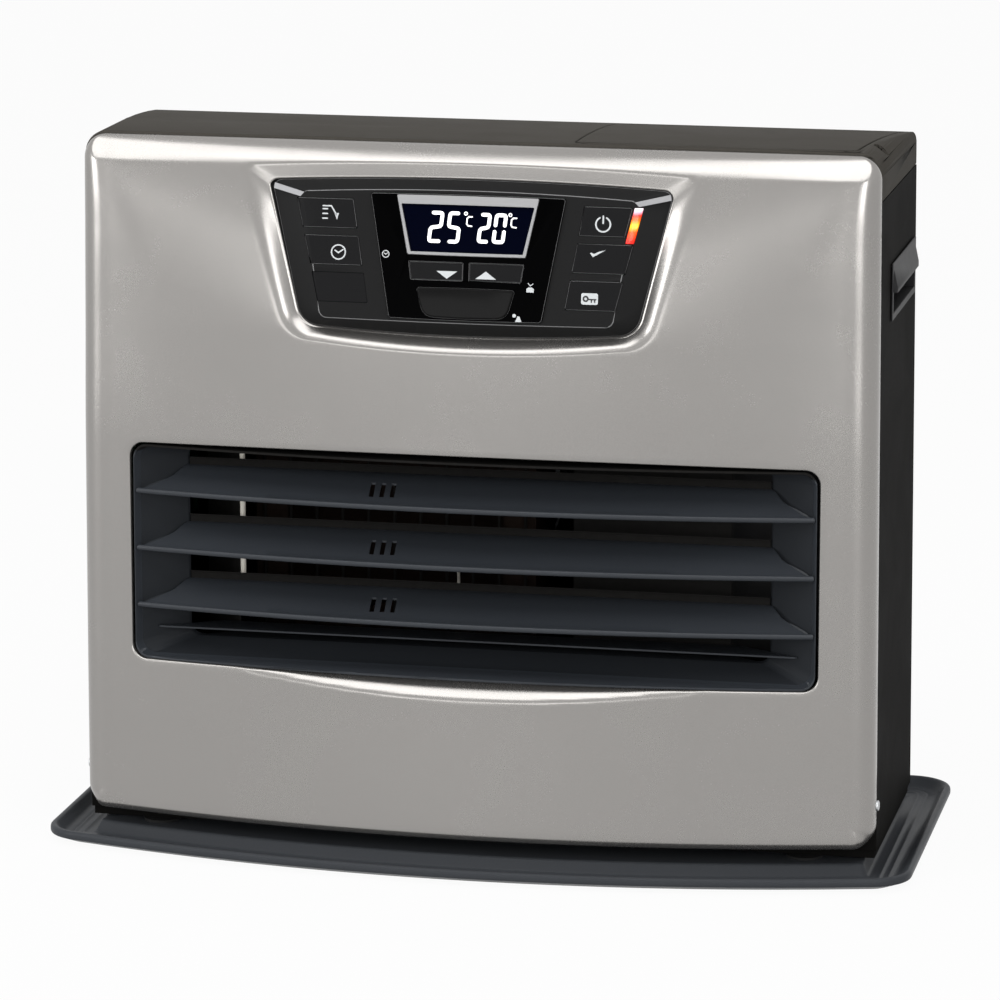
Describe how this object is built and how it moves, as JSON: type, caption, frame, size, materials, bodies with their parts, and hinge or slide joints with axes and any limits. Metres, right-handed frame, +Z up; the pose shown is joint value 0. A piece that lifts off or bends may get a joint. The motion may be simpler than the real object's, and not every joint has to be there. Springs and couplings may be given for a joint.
{
  "type": "paraffin fan heater",
  "caption": "Free-standing paraffin fan heater with a bowed silver front, louvred outlet, leaning control panel, hinged tank lid and a drip tray.",
  "frame": {"origin": "middle of the drip tray's underside", "axes": "+X to the right seen from the front, +Y to the back, +Z up"},
  "size_m": [0.5336, 0.272, 0.438],
  "materials": {
    "silver": "satin metallic silver",
    "cabinet": "fine textured black",
    "tray": "satin dark grey",
    "louvre": "satin blue-grey",
    "top": "fine grained black",
    "bezel": "semi-gloss black",
    "glossy": "gloss black",
    "trim": "satin silver",
    "screen": "dark liquid crystal with white digits",
    "button": "satin black",
    "lens": "clear red",
    "window": "smoked, translucent",
    "board": "green laminate",
    "steel": "bare sheet",
    "hot_steel": "heat-tinted sheet",
    "tank_paint": "gloss grey",
    "clear": "clear",
    "red_plastic": "satin red",
    "black_plastic": "satin black",
    "ceramic": "matte",
    "copper": "bright copper",
    "cast": "as cast",
    "motor": "satin",
    "rubber": "matte",
    "chrome": "polished"
  },
  "bodies": {
    "heater": {"base_tray": "tray", "rubber_feet": "rubber", "chassis_pan": "steel", "front_panel": "silver", "side_panel_left": "cabinet", "side_panel_right": "cabinet", "top_cover": "top", "lid_hinge_pin": "steel", "rear_cover": "cabinet", "cord_gland": "rubber", "side_handle_left": "black_plastic", "side_handle_right": "black_plastic", "louvre_frame": "louvre", "lower_blade": "louvre", "louvre_slat_1": "louvre", "louvre_slat_2": "louvre", "louvre_slat_3": "louvre", "control_bezel": "bezel", "display_housing": "glossy", "display_frame": "trim", "display_panel": "screen", "blank_plate": "button", "light_bar": "lens", "motion_window": "window", "control_board": "board", "main_board": "board", "fuel_tank": "tank_paint", "fuel_gauge": "clear", "tank_well": "black_plastic", "fuel_sump": "steel", "fuel_strainer": "clear", "fuel_pump": "motor", "fuel_pipe": "copper", "vaporiser_pot": "cast", "burner_head": "hot_steel", "igniter": "ceramic", "flame_rod": "ceramic", "combustion_chamber": "hot_steel", "chamber_guard": "steel", "air_duct": "steel", "outlet_funnel": "steel", "blower_case": "black_plastic", "blower_motor": "motor", "fan_motor": "motor", "fan_guard": "steel", "rear_screws": "steel", "panel_screws": "steel"},
    "mode_button": {"button_mode": "button"},
    "clock_button": {"button_clock": "button"},
    "power_button": {"button_power": "button"},
    "tick_button": {"button_tick": "button"},
    "lock_button": {"button_lock": "button"},
    "down_key": {"key_down": "button"},
    "up_key": {"key_up": "button"},
    "lid": {"tank_lid": "top"},
    "carry_handle": {"tank_handle": "chrome"},
    "cap": {"tank_cap": "red_plastic"},
    "convection_fan": {"fan": "black_plastic"},
    "combustion_wheel": {"blower_wheel": "black_plastic"},
    "filter": {"air_filter": "black_plastic"}
  },
  "joints": [
    {"name": "mode_button_press", "type": "slide", "parent": "heater", "child": "mode_button", "axis": [0, 0.9895, -0.1444], "range_m": [0, 0.0008], "stiffness_N_per_m": 600, "springref_m": -0.0008},
    {"name": "clock_button_press", "type": "slide", "parent": "heater", "child": "clock_button", "axis": [0, 0.9895, -0.1444], "range_m": [0, 0.0008], "stiffness_N_per_m": 600, "springref_m": -0.0008},
    {"name": "power_button_press", "type": "slide", "parent": "heater", "child": "power_button", "axis": [0, 0.9895, -0.1444], "range_m": [0, 0.0008], "stiffness_N_per_m": 600, "springref_m": -0.0008},
    {"name": "tick_button_press", "type": "slide", "parent": "heater", "child": "tick_button", "axis": [0, 0.9895, -0.1444], "range_m": [0, 0.0008], "stiffness_N_per_m": 600, "springref_m": -0.0008},
    {"name": "lock_button_press", "type": "slide", "parent": "heater", "child": "lock_button", "axis": [0, 0.9895, -0.1444], "range_m": [0, 0.0008], "stiffness_N_per_m": 600, "springref_m": -0.0008},
    {"name": "down_key_press", "type": "slide", "parent": "heater", "child": "down_key", "axis": [0, 0.9895, -0.1444], "range_m": [0, 0.0008], "stiffness_N_per_m": 600, "springref_m": -0.0008},
    {"name": "up_key_press", "type": "slide", "parent": "heater", "child": "up_key", "axis": [0, 0.9895, -0.1444], "range_m": [0, 0.0008], "stiffness_N_per_m": 600, "springref_m": -0.0008},
    {"name": "lid_hinge", "type": "hinge", "parent": "heater", "child": "lid", "pos_m": [0.145, 0.072, 0.42669], "axis": [-1, 0, 0], "range_deg": [0, 100]},
    {"name": "carry_handle_fold", "type": "hinge", "parent": "heater", "child": "carry_handle", "pos_m": [0.1385, 0.022, 0.4088], "axis": [-1, 0, 0], "range_deg": [0, 85]},
    {"name": "cap_turn", "type": "hinge", "parent": "heater", "child": "cap", "pos_m": [0.1385, 0.022, 0.09], "axis": [0, 0, 1], "range_deg": [0, 90]},
    {"name": "fan_spin", "type": "hinge", "parent": "heater", "child": "convection_fan", "pos_m": [-0.064, 0.071, 0.205], "axis": [0, 1, 0], "continuous": true},
    {"name": "combustion_wheel_spin", "type": "hinge", "parent": "heater", "child": "combustion_wheel", "pos_m": [-0.15, 0, 0.035], "axis": [0, 0, 1], "continuous": true},
    {"name": "filter_pull", "type": "slide", "parent": "heater", "child": "filter", "axis": [0, 1, 0], "range_m": [0, 0.04]}
  ],
  "couplings": [
    {"joint": "carry_handle_fold", "follows": "lid_hinge", "ratio": 0.85}
  ]
}
